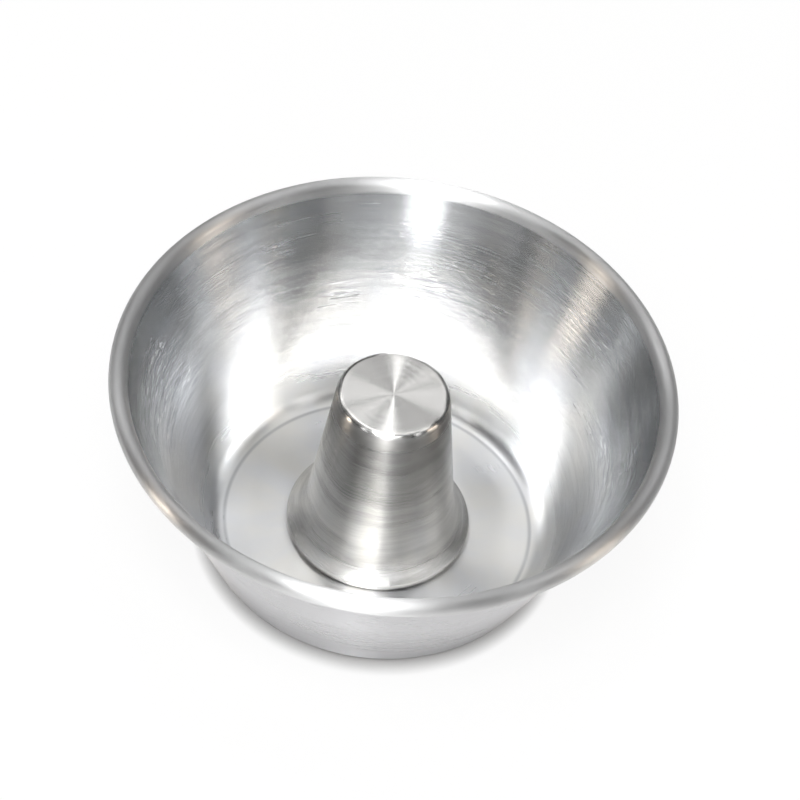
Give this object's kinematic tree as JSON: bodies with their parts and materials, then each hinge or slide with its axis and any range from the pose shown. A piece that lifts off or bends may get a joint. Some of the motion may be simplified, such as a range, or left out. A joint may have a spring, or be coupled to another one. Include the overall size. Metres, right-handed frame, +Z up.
{
  "type": "mini pudding mould",
  "caption": "Small flared round mould in spun aluminium with a rolled rim and a hollow, flat-topped centre cone clinched into its flat base.",
  "frame": {"origin": "middle of the base, on the surface the mould stands on", "axes": "+Z up along the mould's axis, from the base to the open rim; +X and +Y across it, all directions alike"},
  "size_m": [0.08, 0.08, 0.0328],
  "materials": {
    "bowl_sheet": "spun and polished, with fine rings round the axis and light scuffs",
    "cone_sheet": "lathe turned, with close rings round the axis and a star-shaped glint on the flat top"
  },
  "bodies": {
    "root": {"bowl": "bowl_sheet", "centre_cone": "cone_sheet"}
  },
  "joints": []
}
